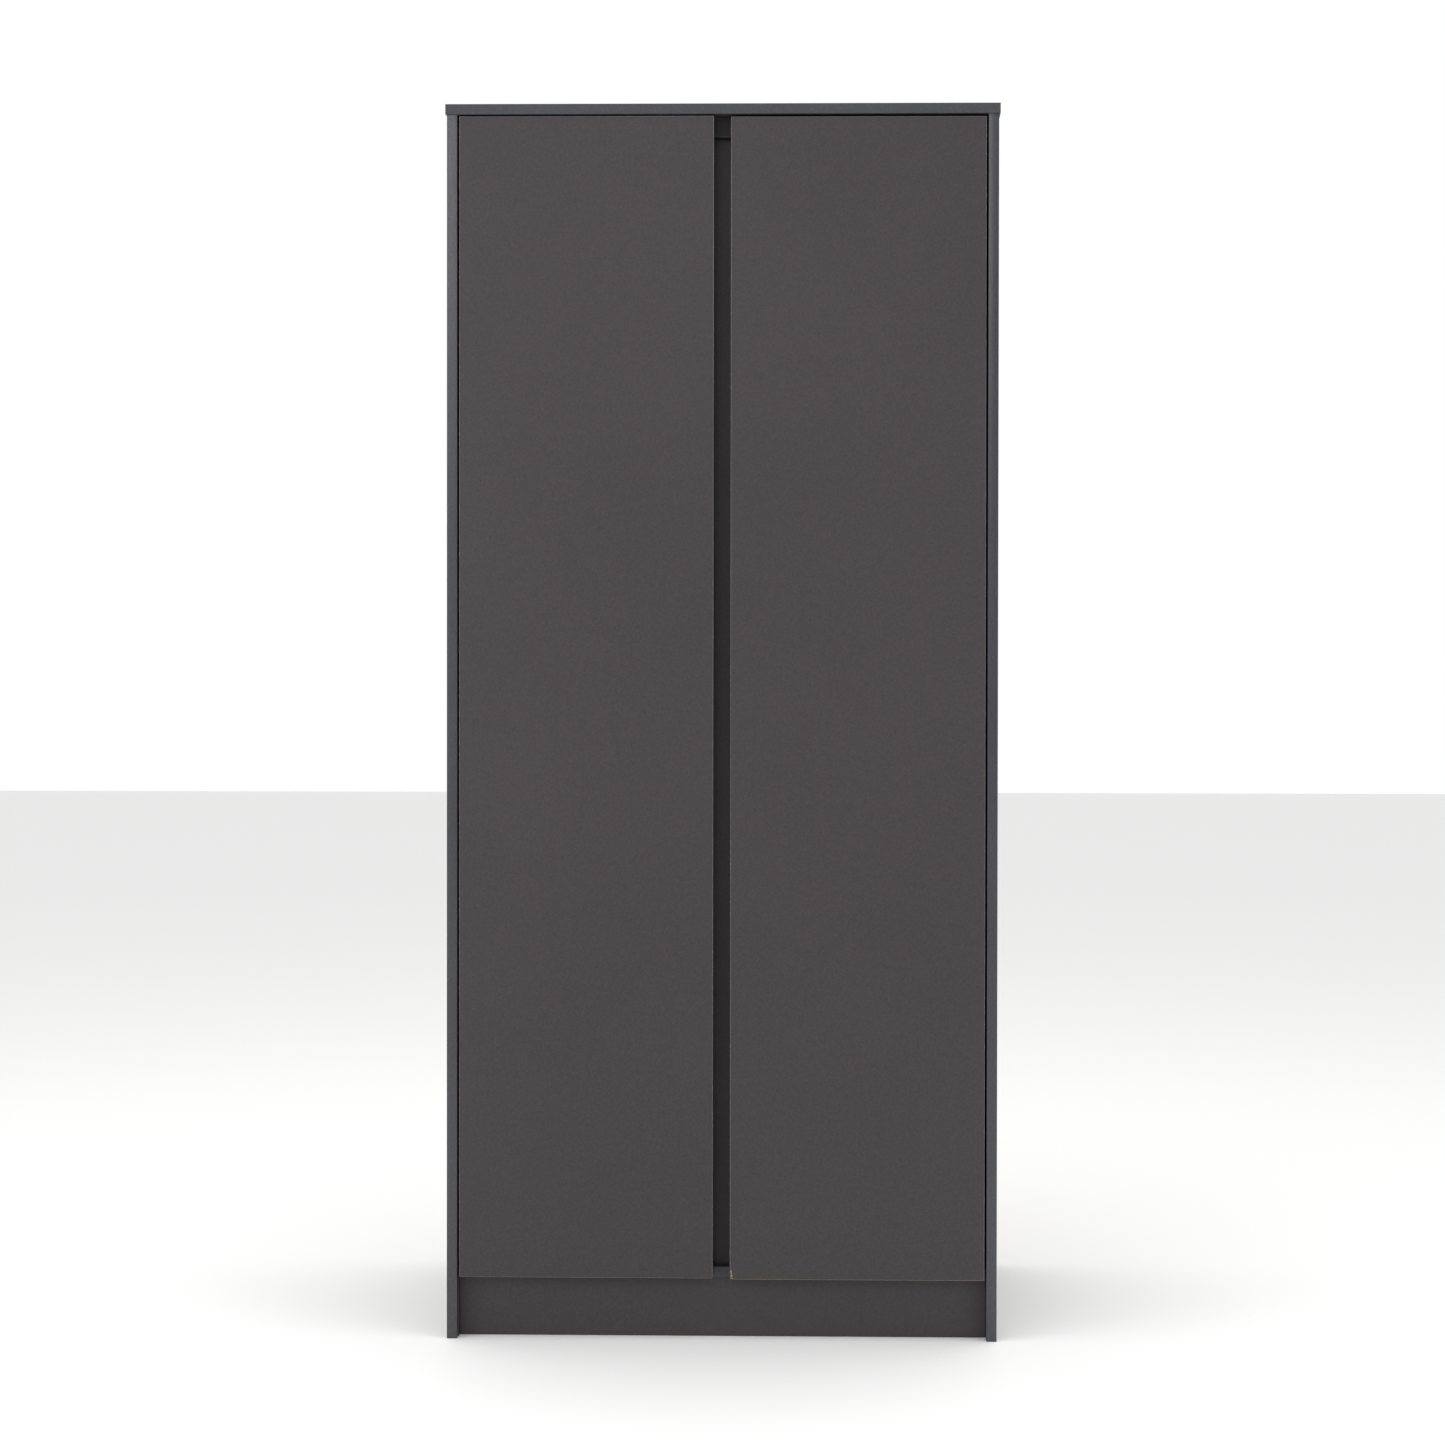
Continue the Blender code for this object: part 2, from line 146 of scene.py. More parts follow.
def turned(name, profile, steps=48):
    # a profile of (radius, height) drawn by extruding one vertex, then turned round Z
    deselectAll()
    bpy.ops.mesh.primitive_plane_add(size=0.001)
    piece = bpy.context.object
    piece.name = name
    piece.data.name = name
    bpy.ops.object.mode_set(mode="EDIT")
    bpy.ops.mesh.select_mode(type="VERT")
    bpy.ops.mesh.merge(type="CENTER")
    drawn = Vector((profile[0][0], 0, profile[0][1]))
    bpy.ops.transform.translate(value=drawn)
    for radius, height in profile[1:]:
        onward = Vector((radius, 0, height))
        bpy.ops.mesh.extrude_region_move(TRANSFORM_OT_translate={"value": onward - drawn})
        drawn = onward
    bpy.ops.object.mode_set(mode="OBJECT")
    applyModifier(
        piece, "SCREW", axis="Z", angle=math.tau, steps=steps, render_steps=steps,
        use_merge_vertices=True, merge_threshold=merged,
    )
    editSelected(
        piece, "FACE", lambda middle, normal: True,
        lambda: bpy.ops.mesh.remove_doubles(threshold=merged),
        lambda: bpy.ops.mesh.normals_make_consistent(inside=False),
    )
    smooth(piece)
    return piece


def arc(centre, radius, start, end, steps=4):
    # points of a round corner in a profile, angles in degrees
    across, up = centre
    turns = [math.radians(start + (end - start) * step / steps) for step in range(steps + 1)]
    return [(across + radius * math.cos(turn), up + radius * math.sin(turn)) for turn in turns]


def copyOf(piece, name):
    twin = bpy.data.objects.new(name, piece.data.copy())
    bpy.context.scene.collection.objects.link(twin)
    twin.data.name = name
    return twin


def place(piece, spot, towards):
    # turn a piece made along +Z towards a direction and put it at a spot
    turn = Vector((0, 0, 1)).rotation_difference(Vector(towards))
    piece.matrix_world = Matrix.Translation(spot) @ turn.to_matrix().to_4x4()
    return settle(piece)


def refined(node, name, width):
    # a copy of a frame node with its loose triangles merged, flat faces made whole and edges rounded
    piece = bpy.data.objects.new(name, cadNodes[node].data.copy())
    bpy.context.scene.collection.objects.link(piece)
    piece.data.materials.clear()
    editSelected(
        piece, "FACE", lambda middle, normal: True,
        lambda: bpy.ops.mesh.remove_doubles(threshold=2 * merged),
        lambda: bpy.ops.mesh.dissolve_limited(angle_limit=math.radians(1)),
    )
    roundEdges(piece, width)
    return piece


def finish(piece, body, slotName, materials, *nodes):
    if not isinstance(materials, (list, tuple)):
        materials = [materials]
    piece.data.materials.clear()
    for material in materials:
        piece.data.materials.append(material)
    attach(piece, body)
    if nodes:
        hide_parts(*nodes)
    return piece


def linear(hexColour):
    # colours are sRGB hex; shaders take linear values
    channels = [int(hexColour[start:start + 2], 16) / 255 for start in (1, 3, 5)]
    return (*[c / 12.92 if c <= 0.04045 else ((c + 0.055) / 1.055) ** 2.4 for c in channels], 1.0)


def addNode(tree, kind, settings, links):
    # a setting is a property or an input's value; a link is an output led into an input
    node = tree.nodes.new(kind)
    for key, value in settings.items():
        if isinstance(key, str) and hasattr(node, key):
            setattr(node, key, value)
        else:
            node.inputs[key].default_value = value
    for key, source in links.items():
        tree.links.new(source, node.inputs[key])
    return node


def newMaterial(name):
    material = bpy.data.materials.new(name)
    material.use_nodes = True
    tree = material.node_tree
    spot = addNode(tree, "ShaderNodeTexCoord", {}, {}).outputs["Object"]
    return material, tree, tree.nodes["Principled BSDF"], spot


# a size is how far one patch, speck or line of a pattern reaches on the real surface
melamineLook = {
    "dark": "#373335", "light": "#3b3739", "driftSize": 0.4167,  # slow drift of the printed paper
    "grainDark": "#302c2f", "grainLight": "#4a4548",  # the paper's own specks
    "grainSize": 0.0028, "grainAmount": 0.30,
    "rough": 0.56, "sheenSpread": 0.025, "wipedSize": 0.1429, "specular": 0.34,
    "peelSize": 0.0011, "peelHeight": 0.00012,  # the real one is about 0.3 mm across, coarser here to show
    "waveSize": 0.055, "waveHeight": 0.0005,
}
# darker copies of the melamine for the top rail and the centre post, which sit back in the channel between
# the doors: painted shade
railPaintedShadeLook = dict(
    melamineLook, dark="#232122", light="#262425", grainDark="#1e1c1d", grainLight="#2d2a2b", specular=0.20,
)
postPaintedShadeLook = dict(
    melamineLook, dark="#343032", light="#383436", grainDark="#2d2a2b", grainLight="#454043", specular=0.32,
)


def makeMelamine(name, look):
    # printed paper under melamine resin, pressed with an etched steel plate: even, silky and dark,
    # with a faint peel that breaks up reflections and duller patches where hands and cloths have been
    material, tree, shader, spot = newMaterial(name)
    drift = addNode(tree, "ShaderNodeTexNoise", {"Scale": 1 / look["driftSize"], "Detail": 3.0},
                    {"Vector": spot})
    driftAmount = addNode(tree, "ShaderNodeMapRange", {"From Min": 0.35, "From Max": 0.65},
                          {"Value": drift.outputs["Fac"]})
    base = addNode(tree, "ShaderNodeMix", {
        "data_type": "RGBA", 6: linear(look["dark"]), 7: linear(look["light"]),
    }, {0: driftAmount.outputs["Result"]})
    grain = addNode(tree, "ShaderNodeTexNoise", {
        "Scale": 1 / look["grainSize"], "Detail": 3.0, "Roughness": 0.6,
    }, {"Vector": spot})
    grainTone = addNode(tree, "ShaderNodeValToRGB", {}, {"Fac": grain.outputs["Fac"]})
    darkStop, lightStop = grainTone.color_ramp.elements
    darkStop.position, darkStop.color = 0.34, linear(look["grainDark"])
    lightStop.position, lightStop.color = 0.68, linear(look["grainLight"])
    tone = addNode(tree, "ShaderNodeMix", {"data_type": "RGBA", 0: look["grainAmount"]},
                   {6: base.outputs[2], 7: grainTone.outputs["Color"]})
    wiped = addNode(tree, "ShaderNodeTexNoise", {
        "Scale": 1 / look["wipedSize"], "Detail": 4.0, "Roughness": 0.6,
    }, {"Vector": spot})
    dulled = addNode(tree, "ShaderNodeMapRange", {
        "From Min": 0.36, "From Max": 0.66,
        "To Min": look["rough"] - look["sheenSpread"], "To Max": look["rough"] + look["sheenSpread"],
    }, {"Value": wiped.outputs["Fac"]})
    peel = addNode(tree, "ShaderNodeTexNoise", {"Scale": 1 / look["peelSize"], "Detail": 1.0},
                   {"Vector": spot})
    peelBump = addNode(tree, "ShaderNodeBump", {"Strength": 0.25, "Distance": look["peelHeight"]},
                       {"Height": peel.outputs["Fac"]})
    wave = addNode(tree, "ShaderNodeTexNoise", {"Scale": 1 / look["waveSize"], "Detail": 1.0},
                   {"Vector": spot})
    waveBump = addNode(tree, "ShaderNodeBump", {"Strength": 0.03, "Distance": look["waveHeight"]},
                       {"Height": wave.outputs["Fac"], "Normal": peelBump.outputs["Normal"]})
    tree.links.new(tone.outputs[2], shader.inputs["Base Color"])
    tree.links.new(dulled.outputs["Result"], shader.inputs["Roughness"])
    tree.links.new(waveBump.outputs["Normal"], shader.inputs["Normal"])
    shader.inputs["IOR"].default_value = 1.5
    shader.inputs["Specular IOR Level"].default_value = look["specular"]
    return material


edgingLook = {
    "dark": "#2d2d32", "light": "#333439", "driftSize": 0.3226,
    "scuffed": "#545457", "scuffSize": 0.003226, "scuffAmount": 0.35,
    "rough": 0.32, "buffing": 0.06, "specular": 0.62,
    "lineWidth": 0.0009, "lineLength": 0.012,  # buffing lines run along the band
}
topEdgingLook = dict(  # the top panel's band is the same ABS left matt
    edgingLook, dark="#36363b", light="#3b3c41", scuffed="#5a5a5d",
    rough=0.56, specular=0.38, lineLength=0.0009,
)
# a lighter copy of the edging for the doors' rounded arris: painted highlight where light catches it
arrisHighlightLook = dict(
    edgingLook, dark="#4b4949", light="#5f5b59", scuffed="#a3968a", scuffAmount=0.85,
    rough=0.42, buffing=0.08, specular=0.5, lineWidth=0.0012, lineLength=0.006,
)
rawLineLook = dict(
    edgingLook, dark="#54493f", light="#7d6a55", scuffed="#a58e6f", scuffAmount=0.8,
    rough=0.6, buffing=0.1, specular=0.35, lineWidth=0.0011, lineLength=0.007,
)


def makeEdging(name, look):
    # extruded ABS band, glued, scraped and buffed: smoother and bluer than the face, so it takes a longer
    # highlight, with paler scuffs; the lighter arris variant is a painted highlight where light catches the
    # rounded arris
    material, tree, shader, spot = newMaterial(name)
    drift = addNode(tree, "ShaderNodeTexNoise", {"Scale": 1 / look["driftSize"], "Detail": 2.0},
                    {"Vector": spot})
    driftAmount = addNode(tree, "ShaderNodeMapRange", {"From Min": 0.35, "From Max": 0.65},
                          {"Value": drift.outputs["Fac"]})
    base = addNode(tree, "ShaderNodeMix", {
        "data_type": "RGBA", 6: linear(look["dark"]), 7: linear(look["light"]),
    }, {0: driftAmount.outputs["Result"]})
    scuff = addNode(tree, "ShaderNodeTexNoise", {
        "Scale": 1 / look["scuffSize"], "Detail": 4.0, "Roughness": 0.65,
    }, {"Vector": spot})
    scuffAmount = addNode(tree, "ShaderNodeMapRange", {
        "From Min": 0.52, "From Max": 0.70, "To Max": look["scuffAmount"],
    }, {"Value": scuff.outputs["Fac"]})
    tone = addNode(tree, "ShaderNodeMix", {"data_type": "RGBA", 7: linear(look["scuffed"])},
                   {0: scuffAmount.outputs["Result"], 6: base.outputs[2]})
    drawn = addNode(tree, "ShaderNodeMapping", {
        "Scale": (1 / look["lineWidth"], 1 / look["lineWidth"], 1 / look["lineLength"]),
    }, {"Vector": spot})
    lines = addNode(tree, "ShaderNodeTexNoise", {"Scale": 1.0, "Detail": 3.0},
                    {"Vector": drawn.outputs["Vector"]})
    buffed = addNode(tree, "ShaderNodeMapRange", {
        "From Min": 0.3, "From Max": 0.7,
        "To Min": look["rough"] - look["buffing"], "To Max": look["rough"] + look["buffing"],
    }, {"Value": lines.outputs["Fac"]})
    bump = addNode(tree, "ShaderNodeBump", {"Strength": 0.15, "Distance": 0.0001},
                   {"Height": lines.outputs["Fac"]})
    tree.links.new(tone.outputs[2], shader.inputs["Base Color"])
    tree.links.new(buffed.outputs["Result"], shader.inputs["Roughness"])
    tree.links.new(bump.outputs["Normal"], shader.inputs["Normal"])
    shader.inputs["IOR"].default_value = 1.53
    shader.inputs["Specular IOR Level"].default_value = look["specular"]
    return material


chipboardLook = {  # tones from one flake to the next, and their share
    "flakes": ((0.0, "#6f5d48"), (0.3, "#8d7a60"), (0.6, "#a59277"), (0.85, "#bbaa8c"), (1.0, "#84745f")),
    "gap": "#40352a",
    "flakeAcross": 0.0026, "flakeThick": 0.0011, "gritSize": 0.0007143,
}
knockedLook = {
    "flakes": ((0.0, "#5f5951"), (0.3, "#80776c"), (0.6, "#968d80"), (0.85, "#a69d90"), (1.0, "#7c736a")),
    "gap": "#46403a",
    "flakeAcross": 0.0019, "flakeThick": 0.0012, "gritSize": 0.0007143,
}


def makeChipboard(name, look):
    # pressed softwood flakes, sawn through: pale and brown flecks lying flat, with dark open pores
    material, tree, shader, spot = newMaterial(name)
    lying = addNode(tree, "ShaderNodeMapping", {
        "Scale": (1 / look["flakeAcross"], 1 / look["flakeThick"], 1 / look["flakeAcross"]),
    }, {"Vector": spot})
    flakes = addNode(tree, "ShaderNodeTexVoronoi", {"Scale": 1.0}, {"Vector": lying.outputs["Vector"]})
    tone = addNode(tree, "ShaderNodeValToRGB", {}, {"Fac": flakes.outputs["Color"]})
    stops = tone.color_ramp.elements
    while len(stops) < len(look["flakes"]):
        stops.new(0.5)
    for stop, (share, colour) in zip(stops, look["flakes"]):
        stop.position = share
        stop.color = linear(colour)
    pores = addNode(tree, "ShaderNodeMapRange", {"From Min": 0.45, "From Max": 0.85, "To Max": 0.75},
                    {"Value": flakes.outputs["Distance"]})
    sawn = addNode(tree, "ShaderNodeMix", {"data_type": "RGBA", 7: linear(look["gap"])},
                   {0: pores.outputs["Result"], 6: tone.outputs["Color"]})
    grit = addNode(tree, "ShaderNodeTexNoise", {"Scale": 1 / look["gritSize"], "Detail": 2.0},
                   {"Vector": spot})
    rough = addNode(tree, "ShaderNodeMapRange", {"To Min": 0.8, "To Max": 0.97},
                    {"Value": grit.outputs["Fac"]})
    flakeBump = addNode(tree, "ShaderNodeBump", {"Strength": 0.6, "Distance": 0.0004, "invert": True},
                        {"Height": flakes.outputs["Distance"]})
    gritBump = addNode(tree, "ShaderNodeBump", {"Strength": 0.4, "Distance": 0.0002},
                       {"Height": grit.outputs["Fac"], "Normal": flakeBump.outputs["Normal"]})
    tree.links.new(sawn.outputs[2], shader.inputs["Base Color"])
    tree.links.new(rough.outputs["Result"], shader.inputs["Roughness"])
    tree.links.new(gritBump.outputs["Normal"], shader.inputs["Normal"])
    shader.inputs["Specular IOR Level"].default_value = 0.2
    return material


rearBoardLook = {
    "dark": "#614a36", "light": "#725944", "mottleSize": 0.016667,
    "fibre": "#836a52", "fibreLength": 0.004762, "fibreWidth": 0.001111, "fibreTurn": 0.5,
    "rough": 0.78, "screen": 0.3, "screenSpacing": 0.002992,
}
frontBoardLook = dict(rearBoardLook, dark="#312f30", light="#3a3739", fibre="#434042", rough=0.5, screen=0.05)


def makeHardboard(name, look):
    # wet-pressed wood fibre on a wire screen: the rear keeps the screen's print and a mottled brown,
    # the front is rolled with a dark lacquer that leaves only faint fibres
    material, tree, shader, spot = newMaterial(name)
    mottle = addNode(tree, "ShaderNodeTexNoise", {
        "Scale": 1 / look["mottleSize"], "Detail": 6.0, "Roughness": 0.7,
    }, {"Vector": spot})
    mottleAmount = addNode(tree, "ShaderNodeMapRange", {"From Min": 0.32, "From Max": 0.68},
                           {"Value": mottle.outputs["Fac"]})
    base = addNode(tree, "ShaderNodeMix", {
        "data_type": "RGBA", 6: linear(look["dark"]), 7: linear(look["light"]),
    }, {0: mottleAmount.outputs["Result"]})
    laid = addNode(tree, "ShaderNodeMapping", {
        "Scale": (1 / look["fibreLength"], 1 / look["fibreWidth"], 1 / look["fibreWidth"]),
        "Rotation": (0, look["fibreTurn"], 0),
    }, {"Vector": spot})
    fibre = addNode(tree, "ShaderNodeTexNoise", {"Scale": 1.0, "Detail": 3.0},
                    {"Vector": laid.outputs["Vector"]})
    fibreAmount = addNode(tree, "ShaderNodeMapRange", {"From Min": 0.56, "From Max": 0.74, "To Max": 0.6},
                          {"Value": fibre.outputs["Fac"]})
    tone = addNode(tree, "ShaderNodeMix", {"data_type": "RGBA", 7: linear(look["fibre"])},
                   {0: fibreAmount.outputs["Result"], 6: base.outputs[2]})
    rough = addNode(tree, "ShaderNodeMapRange", {
        "To Min": look["rough"] - 0.08, "To Max": look["rough"] + 0.12,
    }, {"Value": mottle.outputs["Fac"]})
    wires = math.tau / 20 / look["screenSpacing"]  # a wave texture has 20 radians to a unit
    across = addNode(tree, "ShaderNodeTexWave", {"Scale": wires, "bands_direction": "X", "Distortion": 0.4},
                     {"Vector": spot})
    acrossBump = addNode(tree, "ShaderNodeBump", {"Strength": look["screen"], "Distance": 0.00012},
                         {"Height": across.outputs["Fac"]})
    upward = addNode(tree, "ShaderNodeTexWave", {"Scale": wires, "bands_direction": "Z", "Distortion": 0.4},
                     {"Vector": spot})
    upwardBump = addNode(tree, "ShaderNodeBump", {"Strength": look["screen"], "Distance": 0.00012},
                         {"Height": upward.outputs["Fac"], "Normal": acrossBump.outputs["Normal"]})
    tree.links.new(tone.outputs[2], shader.inputs["Base Color"])
    tree.links.new(rough.outputs["Result"], shader.inputs["Roughness"])
    tree.links.new(upwardBump.outputs["Normal"], shader.inputs["Normal"])
    shader.inputs["Specular IOR Level"].default_value = 0.3
    return material


nickelLook = {
    "dark": "#b3b1ab", "light": "#cecbc4", "hazeSize": 0.010526, "rough": 0.30, "spread": 0.03,
    "grain": (0.0016, 0.0048, 0.0016), "bump": 0.01,
}
zincLook = dict(
    nickelLook, dark="#96979a", light="#b2b4b5", rough=0.46, spread=0.04,
    grain=(0.0012, 0.0012, 0.0012), bump=0.05,
)
chromeLook = dict(
    nickelLook, dark="#cdced0", light="#dfe0e1", rough=0.12, spread=0.06,
    grain=(0.030, 0.0010, 0.0010),
)
screwLook = dict(
    nickelLook, dark="#a7a59a", light="#c5c2b6", rough=0.36, spread=0.04,
    grain=(0.0014, 0.0014, 0.0014), bump=0.02,
)


def makeMetal(name, look):
    # nickel on pressed steel is drawn one way and fairly bright, a zinc casting is duller and finely
    # pitted, chromed tube is mirror-like with marks where hangers slide, plated screws are hazy
    material, tree, shader, spot = newMaterial(name)
    haze = addNode(tree, "ShaderNodeTexNoise", {
        "Scale": 1 / look["hazeSize"], "Detail": 5.0, "Roughness": 0.6,
    }, {"Vector": spot})
    hazeAmount = addNode(tree, "ShaderNodeMapRange", {"From Min": 0.32, "From Max": 0.66},
                         {"Value": haze.outputs["Fac"]})
    tone = addNode(tree, "ShaderNodeMix", {
        "data_type": "RGBA", 6: linear(look["dark"]), 7: linear(look["light"]),
    }, {0: hazeAmount.outputs["Result"]})
    along = addNode(tree, "ShaderNodeMapping", {"Scale": [1 / size for size in look["grain"]]},
                    {"Vector": spot})
    marks = addNode(tree, "ShaderNodeTexNoise", {"Scale": 1.0, "Detail": 1.5},
                    {"Vector": along.outputs["Vector"]})
    worn = addNode(tree, "ShaderNodeMapRange", {
        "From Min": 0.3, "From Max": 0.7,
        "To Min": look["rough"] - look["spread"], "To Max": look["rough"] + look["spread"],
    }, {"Value": marks.outputs["Fac"]})
    bump = addNode(tree, "ShaderNodeBump", {"Strength": look["bump"], "Distance": 0.0001},
                   {"Height": marks.outputs["Fac"]})
    tree.links.new(tone.outputs[2], shader.inputs["Base Color"])
    tree.links.new(worn.outputs["Result"], shader.inputs["Roughness"])
    tree.links.new(bump.outputs["Normal"], shader.inputs["Normal"])
    shader.inputs["Metallic"].default_value = 1.0
    return material


stripLook = {
    "dark": "#171718", "light": "#212122", "hazeSize": 0.009091, "grainSize": 0.0005556,
    "rough": 0.42, "ior": 1.53, "clear": 0.0,
}
bumperLook = dict(stripLook, dark="#cfcdc4", light="#e0ded6", rough=0.2, ior=1.48, clear=0.75)


def makePlastic(name, look):
    # extruded black PVC is satin with faint drawing marks; cast polyurethane is clear and slightly milky
    material, tree, shader, spot = newMaterial(name)
    haze = addNode(tree, "ShaderNodeTexNoise", {"Scale": 1 / look["hazeSize"], "Detail": 3.0},
                   {"Vector": spot})
    tone = addNode(tree, "ShaderNodeMix", {
        "data_type": "RGBA", 6: linear(look["dark"]), 7: linear(look["light"]),
    }, {0: haze.outputs["Fac"]})
    grain = addNode(tree, "ShaderNodeTexNoise", {"Scale": 1 / look["grainSize"], "Detail": 2.0},
                    {"Vector": spot})
    rough = addNode(tree, "ShaderNodeMapRange", {
        "To Min": look["rough"] - 0.08, "To Max": look["rough"] + 0.1,
    }, {"Value": grain.outputs["Fac"]})
    bump = addNode(tree, "ShaderNodeBump", {"Strength": 0.2, "Distance": 0.00008},
                   {"Height": grain.outputs["Fac"]})
    tree.links.new(tone.outputs[2], shader.inputs["Base Color"])
    tree.links.new(rough.outputs["Result"], shader.inputs["Roughness"])
    tree.links.new(bump.outputs["Normal"], shader.inputs["Normal"])
    shader.inputs["IOR"].default_value = look["ior"]
    shader.inputs["Transmission Weight"].default_value = look["clear"]
    return material


finishes = {
    "melamine": makeMelamine("melamine faced chipboard", melamineLook),
    "railPaintedShadeMelamine": makeMelamine("melamine faced chipboard rail, painted shade", railPaintedShadeLook),
    "postPaintedShadeMelamine": makeMelamine("melamine faced chipboard post, painted shade", postPaintedShadeLook),
    "edging": makeEdging("ABS edging", edgingLook),
    "topEdging": makeEdging("ABS edging matt", topEdgingLook),
    "paintedArrisHighlight": makeEdging("ABS edging painted arris highlight", arrisHighlightLook),
    "rawLine": makeEdging("ABS edging raw glue line", rawLineLook),
    "chipboard": makeChipboard("chipboard core", chipboardLook),
    "knocked": makeChipboard("knocked corner", knockedLook),
    "hardboardRear": makeHardboard("hardboard screen side", rearBoardLook),
    "hardboardFront": makeHardboard("hardboard lacquered side", frontBoardLook),
    "nickel": makeMetal("nickel plated pressed steel", nickelLook),
    "zinc": makeMetal("zinc die casting", zincLook),
    "chrome": makeMetal("chromed steel tube", chromeLook),
    "screwSteel": makeMetal("zinc plated screw", screwLook),
    "strip": makePlastic("extruded PVC strip", stripLook),
    "bumper": makePlastic("clear polyurethane bumper", bumperLook),
}
print("finishes:", len(finishes))


edging = {
    "thickness": 0.0010,  # ABS band glued to a board's edge
    "arris": 0.0005,  # rounding along its long edges
    "doorArris": 0.0007,
    "arrisSteps": 3,
    "eased": 0.0003,  # the raw edges of a board, rubbed with a sanding block
    "rawWithin": 0.001,  # how far up from its lower end a board shows the raw glue line
}
# the axis each board is thin along, and its banded edges in the order they were glued
boards = {
    "top_panel": {"thin": 2, "banded": ("left", "right", "front")},
    "left_side_panel": {"thin": 0, "banded": ("front",)},
    "right_side_panel": {"thin": 0, "banded": ("front",)},
    "bottom_panel": {"thin": 2, "banded": ("front",)},
    "plinth": {"thin": 1, "banded": ("bottom",)},
    "rear_plinth": {"thin": 1, "banded": ("bottom",)},
    "top_rail": {"thin": 1, "banded": ("bottom",)},
    "centre_post": {"thin": 1, "banded": ("left", "right")},
    "hat_shelf": {"thin": 2, "banded": ("front",)},
    "left_door": {"thin": 1, "banded": ("left", "right", "top", "bottom")},
    "right_door": {"thin": 1, "banded": ("left", "right", "top", "bottom")},
}
# bands and faces that differ from the rest, which are buffed ABS and plain melamine; the top rail's and the
# centre post's faces take darker melamine as painted shade
# the top rail's lower band takes the black PVC strip finish, a dark sheet standing for painted shade under
# the rail
bandFinish = {"top_panel": "topEdging", "bottom_panel": "topEdging", "top_rail": "strip"}
faceFinish = {"top_rail": "railPaintedShadeMelamine", "centre_post": "postPaintedShadeMelamine"}
outwards = {
    "left": (0, -1), "right": (0, 1), "front": (1, -1),
    "rear": (1, 1), "bottom": (2, -1), "top": (2, 1),
}


def bandedBoard(node, spec):
    # the core keeps the node's box less the bands; each band is a thin slab with rounded long edges
    low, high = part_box(node)
    low, high = list(low), list(high)
    bands = []
    glued = []  # the axis and the place of each edge that has a band
    arris = edging["doorArris" if node.endswith("_door") else "arris"]
    for side in spec["banded"]:
        axis, way = outwards[side]
        bandLow, bandHigh = list(low), list(high)
        if way < 0:
            low[axis] += edging["thickness"]
            bandHigh[axis] = low[axis]
        else:
            high[axis] -= edging["thickness"]
            bandLow[axis] = high[axis]
        glued.append((axis, low[axis] if way < 0 else high[axis]))
        band = slab(node + "_band", bandLow, bandHigh)
        outer = bandLow[axis] if way < 0 else bandHigh[axis]
        editSelected(
            band, "EDGE",
            lambda first, second: all(abs(end[axis] - outer) < same for end in (first, second))
            and abs(first[spec["thin"]] - second[spec["thin"]]) < same,
            lambda: bpy.ops.mesh.bevel(offset=arris, segments=edging["arrisSteps"], affect="EDGES"),
        )
        bands.append(band)
    core = slab(node + "_board", low, high)
    if not node.endswith("_door"):  # a door has a band on every edge
        editSelected(
            core, "EDGE",
            lambda *ends: not any(all(abs(end[axis] - face) < same for end in ends) for axis, face in glued),
            lambda: bpy.ops.mesh.bevel(offset=edging["eased"], segments=1, affect="EDGES"),
        )
    return [core, *bands]


bores = {
    "cupRadius": 0.0175, "cupDepth": 0.0120,  # pockets for the hinge cups in the doors
    "pinRadius": 0.0025, "pinDepth": 0.0086,
    "behindCam": 0.0006,  # a cam's hole is this much deeper than the cam
    "sides": 48,
}


def boredHoles(core, holes):
    # blind holes: each is a spot on the board's face, a direction into it, a radius and a depth
    for spot, inward, radius, depth in holes:
        deselectAll()
        bpy.ops.mesh.primitive_cylinder_add(vertices=bores["sides"], radius=radius, depth=2 * depth)
        cutAway(core, place(bpy.context.object, Vector(spot), inward))


def nodeMiddle(node):
    low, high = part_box(node)
    return (low + high) / 2


def cupSpots(word):
    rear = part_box(word + "_door")[1].y
    spots = []
    for height in hingePlaces:
        middle = nodeMiddle(f"hinge_cup_{word}_{height}")
        spots.append(Vector((middle.x, rear, middle.z)))
    return spots


def panelHoles(word, side):
    # holes for the connector cams and the shelf pins in a side panel's inner face
    low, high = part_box(word + "_side_panel")
    inner = low.x if side > 0 else high.x
    holes = []
    for spot in ("front", "rear"):
        camLow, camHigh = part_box(f"connector_cam_{word}_{spot}")
        middle = (camLow + camHigh) / 2
        radius = (camHigh.z - camLow.z) / 2 + touch
        depth = camHigh.x - camLow.x + bores["behindCam"]
        holes.append(((inner, middle.y, middle.z), (side, 0, 0), radius, depth))
        pinLow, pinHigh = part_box(f"shelf_pin_{word}_{spot}")
        height = pinHigh.z - bores["pinRadius"]
        middle = (pinLow + pinHigh) / 2
        radius = bores["pinRadius"] + touch
        holes.append(((inner, middle.y, height), (side, 0, 0), radius, bores["pinDepth"]))
    return holes


cores = {}
for node, spec in boards.items():
    cores[node] = bandedBoard(node, spec)
for word, side in hands.items():
    pockets = [(spot, (0, -1, 0), bores["cupRadius"], bores["cupDepth"]) for spot in cupSpots(word)]
    boredHoles(cores[word + "_door"][0], pockets)
    boredHoles(cores[word + "_side_panel"][0], panelHoles(word, side))
print("boards:", len(cores))


# knocked corners of the doors: which side of the door, its lower or upper end, and the size of the hollow
knocks = {
    "right_door": (
        ("left", "bottom", 0.0042, 0.0150), ("right", "top", 0.0016, 0.0012), ("left", "top", 0.0009, 0.0022),
    ),
    "left_door": (("right", "top", 0.0018, 0.0014), ("right", "bottom", 0.0008, 0.0012)),
}
knockShape = {"depth": 0.0011, "uneven": 0.2, "seed": 7}


